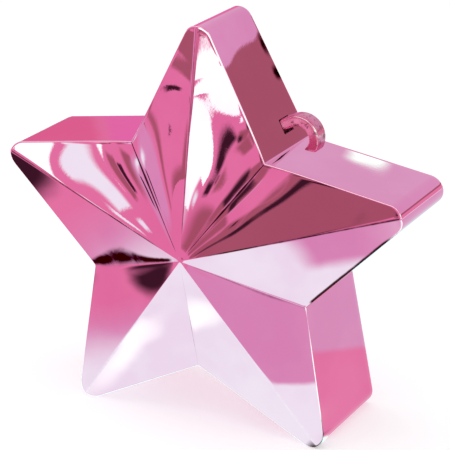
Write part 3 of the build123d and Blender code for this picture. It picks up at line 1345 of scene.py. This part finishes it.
# Bearing, height, half width, half height, glow, edge and roll. Later panels cover earlier ones.
PANELS = (
    # In front, to the right: the long softbox and the flags beside it.
    (11.05, 4.55, 6.0, 4.65, Glow.WHITE, Edge.HARD),
    (38.0, 8.0, 24.0, 10.0, Glow.WHITE, Edge.CRISP),
    (8.7, -0.6, 3.0, 0.65, Glow.WHITE, Edge.HARD),
    (9.08, -1.65, 3.0, 0.65, Glow.WHITE, Edge.HARD),
    (10.0, -2.9, 3.0, 0.75, Glow.WHITE, Edge.CRISP),
    (6.35, -3.05, 0.35, 0.25, Glow.PALE, Edge.FADED),
    (14.0, -2.1, 4.0, 1.6, Glow.WHITE, Edge.CRISP),
    (4.9, -1.8, 0.6, 0.38, Glow.DARK, Edge.BLURRED, -30.0),
    (12.4, -3.9, 4.4, 0.7, Glow.PALE),
    (0.5, -1.8, 5.5, 0.9, Glow.WINE, Edge.BLURRED, -27.0),
    (2.9, 0.1, 1.4, 0.7, Glow.WINE, Edge.SOFT, -35.0),
    (4.5, 0.55, 0.35, 0.6, Glow.WINE),
    (5.0, 1.1, 0.35, 0.13, Glow.WINE),
    (4.6, -0.7, 0.55, 0.45, Glow.WINE),
    (4.45, -0.95, 0.3, 0.2, Glow.DARK, Edge.FADED),
    (-6.8, 3.2, 3.2, 1.2, Glow.WINE, Edge.SOFT, -27.0),
    (-6.6, 6.4, 2.8, 1.5, Glow.WINE, Edge.SOFT, -27.0),
    (-6.9, 4.75, 3.0, 0.5, Glow.DARK, Edge.BLURRED, -27.0),
    (-10.1, 6.7, 0.3, 0.8, Glow.LILAC, Edge.SOFT, -27.0),
    (-13.5, 6.8, 4.0, 0.9, Glow.WINE, Edge.SOFT, -33.0),
    (-19.8, 14.6, 4.2, 2.2, Glow.WINE, Edge.CRISP),
    (-18.6, 11.2, 2.2, 1.3, Glow.WINE),
    (-18.9, 12.9, 1.6, 0.42, Glow.DARK, Edge.BLURRED, 39.0),
    (-17.4, 11.3, 0.5, 0.25, Glow.DARK, Edge.FADED, 20.0),
    # In front, to the left: a window, its frame and what stands beside it.
    (-38.4, 11.9, 1.45, 1.2, Glow.WHITE, Edge.CRISP),
    (-35.8, 12.3, 0.36, 0.95, Glow.PALE, Edge.SOFT, -24.0),
    (-34.95, 11.2, 0.25, 0.45, Glow.PALE, Edge.BLURRED, -24.0),
    (-34.6, 13.05, 0.14, 0.75, Glow.PALE, Edge.SOFT, 37.0),
    (-37.7, 9.6, 0.7, 0.4, Glow.WINE, Edge.SOFT, 50.0),
    (-38.6, 8.5, 0.5, 0.24, Glow.DARK, Edge.SOFT, 50.0),
    (-42.5, 5.2, 2.6, 0.9, Glow.WINE, Edge.SOFT, 45.0),
    (-48.8, -0.4, 7.0, 1.7, Glow.LILAC, Edge.SOFT, 29.0),
    (-48.2, 0.7, 2.6, 0.4, Glow.PALE, Edge.FADED, 29.0),
    (-54.0, -3.6, 3.0, 1.5, Glow.LILAC, Edge.SOFT, 25.0),
    (-45.5, 1.1, 0.9, 0.3, Glow.DARK, Edge.SOFT, 50.0),
    (-59.5, -8.0, 4.5, 0.8, Glow.WINE),
    (-60.75, -5.65, 0.42, 0.11, Glow.DARK),
    (-63.2, -6.9, 0.6, 1.2, Glow.WINE),
    (-60.0, -3.0, 3.0, 1.0, Glow.WINE, Edge.CRISP),
    (-58.4, -5.6, 0.45, 1.2, Glow.WINE, Edge.FADED, 20.0),
    (-60.7, -4.3, 0.5, 0.45, Glow.WINE),
    # Behind: what the side walls show.
    (157.0, 20.0, 12.0, 9.0, Glow.LILAC, Edge.CRISP),
    (181.0, 24.0, 15.0, 10.0, Glow.LILAC),
    (151.0, 8.8, 14.0, 2.7, Glow.WINE, Edge.HARD),
    (-163.2, 25.5, 9.0, 5.0, Glow.LILAC),
    (-163.15, 24.45, 0.5, 0.45, Glow.WHITE, Edge.BLURRED),
    (-150.0, 8.0, 4.8, 8.0, Glow.ROSE, Edge.CRISP),
    (-140.2, 8.0, 5.0, 8.0, Glow.BLUSH, Edge.CRISP),
    # At both sides and overhead: softboxes that draw bright lines on the rim.
    (-10.0, 64.0, 26.0, 15.0, Glow.WHITE),
    (85.0, 25.0, 22.0, 20.0, Glow.WHITE),
    (-100.0, 35.0, 16.0, 20.0, Glow.PALE),
    # Out of the photograph: what the star shows from behind, above and both sides.
    (-25.0, 32.0, 22.0, 6.0, Glow.LILAC, Edge.SOFT, 8.0),
    (30.0, 35.0, 16.0, 6.0, Glow.PALE, Edge.SOFT, -8.0),
    (2.0, 25.0, 30.0, 1.6, Glow.WINE),
    (92.0, 3.5, 22.0, 1.6, Glow.PALE, Edge.SOFT, 6.0),
    (88.0, -2.5, 26.0, 1.2, Glow.WINE, Edge.SOFT, 6.0),
    (-95.0, 3.5, 18.0, 1.6, Glow.PALE, Edge.SOFT, -6.0),
    (-95.0, -2.5, 20.0, 1.2, Glow.WINE, Edge.SOFT, -6.0),
    (180.0, -5.5, 20.0, 1.3, Glow.PALE, Edge.SOFT, 7.0),
    (180.0, -2.0, 22.0, 0.8, Glow.WINE, Edge.SOFT, 7.0),
    (135.0, -5.5, 18.0, 1.3, Glow.PALE, Edge.SOFT, -7.0),
    (-135.0, -5.5, 18.0, 1.3, Glow.PALE, Edge.SOFT, 7.0),
)

# Patches painted into the floor's glow that only mirrors see. The light ones are glow with no lamp,
# and the dark ones under the star (at 50, -8 and 31, -10) are painted shadow.
# X, Y, half length, half width, glow, edge, turn and whether it is round, in the same order.
FLOOR_GLOW_PATCHES = (
    (228.0, -82.0, 222.0, 60.0, Glow.LILAC, Edge.CRISP),
    (0.0, 260.0, 450.0, 198.0, Glow.LILAC, Edge.HARD),
    (-30.0, -28.0, 48.0, 34.0, Glow.LILAC),
    (-27.0, -22.0, 32.0, 34.0, Glow.PALE, Edge.BLURRED),
    (-6.0, -40.0, 35.0, 36.0, Glow.PALE, Edge.CRISP, 0.0, True),
    (70.0, -29.0, 80.0, 24.5, Glow.PALE, Edge.CRISP),
    (112.0, -38.0, 55.0, 48.0, Glow.WHITE),
    (50.0, -8.0, 14.0, 9.0, Glow.DARK),
    (31.0, -10.0, 3.6, 3.0, Glow.DARK, Edge.SOFT, 0.0, True),
    (-22.3, -22.1, 10.0, 2.8, Glow.WHITE, Edge.FADED, -58.0, True),
    (-21.5, -28.4, 5.0, 3.2, Glow.WHITE, Edge.FADED, 0.0, True),
    (-104.0, -61.5, 13.0, 6.5, Glow.DARK, Edge.BLURRED, 28.0, True),
    (-121.0, -30.0, 17.5, 15.0, Glow.DARK, Edge.SOFT, 0.0, True),
)


@dataclass
class Studio:
    """The white set: floor, room light, softboxes and flags, lamp and camera."""

    form: StarForm
    panels: tuple[LightPanel, ...] = tuple(LightPanel(*row) for row in PANELS)
    glow_patches: tuple[FloorGlowPatch, ...] = tuple(FloorGlowPatch(*row) for row in FLOOR_GLOW_PATCHES)
    room: float = 0.62
    floor_radius: float = 450.0
    floor_points: int = 64
    floor_rings: tuple[float, ...] = (0.02, 0.1, 0.4, 1.0)
    floor_warp: Pair = (70.0, 0.006)
    paper: Colour = (0.85, 0.85, 0.86)
    paper_glow: float = 0.42
    lamp_power: float = 0.9
    lamp_size: float = 0.5
    lamp_place: tuple[float, float, float] = (-0.06, -0.12, 0.6)
    lamp_tilt: Pair = (math.radians(-11.0), math.radians(-6.0))
    camera_bearing: float = math.radians(28.02)
    camera_height: float = math.radians(20.38)
    camera_distance: float = 450.0
    camera_aim: tuple[float, float, float] = (4.61, 0.0, 6.81)
    focal_pixels: float = 2057.5
    frame_side: float = 450.0
    principal: Pair = (216.7, 223.7)
    sensor_width: float = 36.0
    clip: Pair = (0.01, 20.0)

    def _paint(self, graph: Graph, shapes: tuple, place: Socket) -> Socket:
        """The colour that a mirror sees: the room's, covered by one shape after another.

        Args:
            graph: The nodes to add to.
            shapes: The panels or floor patches, each with a mask and a glow.
            place: The socket of the direction or the place looked at.

        Returns:
            The socket of the colour.
        """
        colour = Glow.ROOM.value
        for shape in shapes:
            colour = graph.blend(shape.mask(graph, place), colour, shape.glow.value)
        return colour

    def light_room(self) -> None:
        """The world: white to the camera, plain to matt surfaces, panels to mirrors."""
        world = bpy.data.worlds.new("studio_room")
        bpy.context.scene.world = world
        world.use_nodes = True
        graph = Graph(world.node_tree)
        painted = self._paint(graph, self.panels, graph.add("TexCoord").outputs["Generated"])
        white = (1.0, 1.0, 1.0, 1.0)
        seen, plain, mirrored = (
            graph.feed(graph.add("Background"), Color=colour, Strength=strength)
            for colour, strength in ((white, 1.0), (white, self.room), (painted, 1.0)))
        path = graph.add("LightPath").outputs
        lit = graph.either(path["Is Glossy Ray"], plain, mirrored)
        clear = graph.math("MAXIMUM", path["Is Camera Ray"], path["Is Transmission Ray"])
        graph.feed(graph.add("OutputWorld"), Surface=graph.either(clear, lit, seen).outputs[0])

    def lay_floor(self) -> bpy.types.Object:
        """The white floor, which glows to the camera and shows painted glow and painted shadow to
        mirrors.

        Returns:
            A disc of rings about the star.
        """
        count, rings = self.floor_points, len(self.floor_rings)
        angle = np.arange(count) * TURN / count
        circle = np.stack([np.sin(angle), np.cos(angle), 0.0 * angle], axis=1)
        points = self.floor_radius * np.array(self.floor_rings)[:, None, None] * circle
        points = np.concatenate([points.reshape(-1, 3), np.zeros((1, 3))])
        index = np.arange(rings * count).reshape(rings, count)
        after = np.roll(index, -1, axis=1)
        quads = np.stack([after[:-1], after[1:], index[1:], index[:-1]], axis=-1).reshape(-1, 4)
        fan = np.stack([after[0], index[0], np.full(count, rings * count)], axis=-1)
        mesh = bpy.data.meshes.new("studio_floor")
        mesh.from_pydata((points * MM).tolist(), [], quads.tolist() + fan.tolist())
        floor = bpy.data.objects.new("studio_floor", mesh)
        bpy.context.scene.collection.objects.link(floor)
        mesh.materials.append(self._floor_finish())
        return floor

    def _floor_finish(self) -> Material:
        """Matt white paper: lit and shadowed to the camera, with painted glow and painted shadow to
        mirrors.

        Returns:
            The material.
        """
        made = bpy.data.materials.new("white_paper")
        made.use_nodes = True
        graph = Graph(made.node_tree)
        place = graph.warp(graph.add("TexCoord").outputs["Object"], *self.floor_warp)
        painted = self._paint(graph, self.glow_patches, place)
        path = graph.add("LightPath").outputs
        paper = graph.feed(graph.add("BsdfDiffuse"), Color=(*self.paper, 1.0))
        shine = graph.math("MULTIPLY", path["Is Camera Ray"], self.paper_glow)
        glow = graph.feed(graph.add("Emission"), Strength=shine)
        lit = graph.feed(graph.add("AddShader"), i0=paper.outputs[0], i1=glow.outputs[0])
        # Mirrors see the painted glow patches and painted shadow here, not the lit paper.
        mirrored = graph.feed(graph.add("Emission"), Color=painted, Strength=1.0)
        both = graph.either(path["Is Glossy Ray"], lit, mirrored)
        graph.feed(graph.add("OutputMaterial"), Surface=both.outputs[0])
        return made

    def hang_lamp(self) -> bpy.types.Object:
        """One broad soft lamp over the star.

        Returns:
            The lamp, unseen in mirrors, where the panels stand for it.
        """
        data = bpy.data.lights.new("overhead_softbox", "AREA")
        data.shape = "SQUARE"
        data.size = self.lamp_size
        data.energy = self.lamp_power
        lamp = bpy.data.objects.new("overhead_softbox", data)
        lamp.location = self.lamp_place
        lamp.rotation_euler = (*self.lamp_tilt, 0.0)
        lamp.visible_glossy = False
        lamp.visible_camera = False
        bpy.context.scene.collection.objects.link(lamp)
        return lamp

    def set_camera(self) -> bpy.types.Object:
        """The camera at the photograph's angle, above the star's right shoulder.

        Returns:
            The camera.
        """
        bearing, height, side = self.camera_bearing, self.camera_height, self.frame_side
        aim = self.form.offset + np.array(self.camera_aim)
        back = np.array([math.sin(bearing) * math.cos(height),
                         -math.cos(bearing) * math.cos(height), math.sin(height)])
        data = bpy.data.cameras.new("photo_camera")
        data.sensor_width = self.sensor_width
        data.lens = self.sensor_width * self.focal_pixels / side
        data.shift_x = (side / 2 - self.principal[0]) / side
        data.shift_y = (self.principal[1] - side / 2) / side
        data.clip_start, data.clip_end = self.clip
        camera = bpy.data.objects.new("photo_camera", data)
        camera.location = tuple((aim + self.camera_distance * back) * MM)
        camera.rotation_euler = (math.pi / 2 - height, 0.0, bearing)
        bpy.context.scene.collection.objects.link(camera)
        bpy.context.scene.camera = camera
        return camera

    def build(self) -> None:
        """Sets up the whole studio."""
        bpy.context.scene.view_settings.view_transform = "Standard"
        self.set_camera()
        self.light_room()
        self.lay_floor()
        self.hang_lamp()


def main() -> None:
    """Builds the star piece by piece, then the studio."""
    logging.basicConfig(level=logging.INFO, format="%(name)s %(message)s")
    form = StarForm()
    film = MirrorFilm("pink_mirror_film").material()
    hook_film = MirrorFilm("pink_hook_film", tint=(0.80, 0.24, 0.41), deep_tint=(0.60, 0.14, 0.26),
                           smooth=0.20, hazed=0.34, peel=0.00002, fleck=0.6).material()
    cover_film = MirrorFilm("pink_cover_film", smooth=0.035, hazed=0.09).material()
    bare = BarePlastic("bare_pink_plastic").material()
    StarShell(form).build(film, bare)
    BackCover(form).build(cover_film, bare)
    RibbonHook(form).build(hook_film)
    PlasterFill().build(CastPlaster("cast_plaster").material())
    Studio(form).build()


if __name__ == "__main__":
    main()
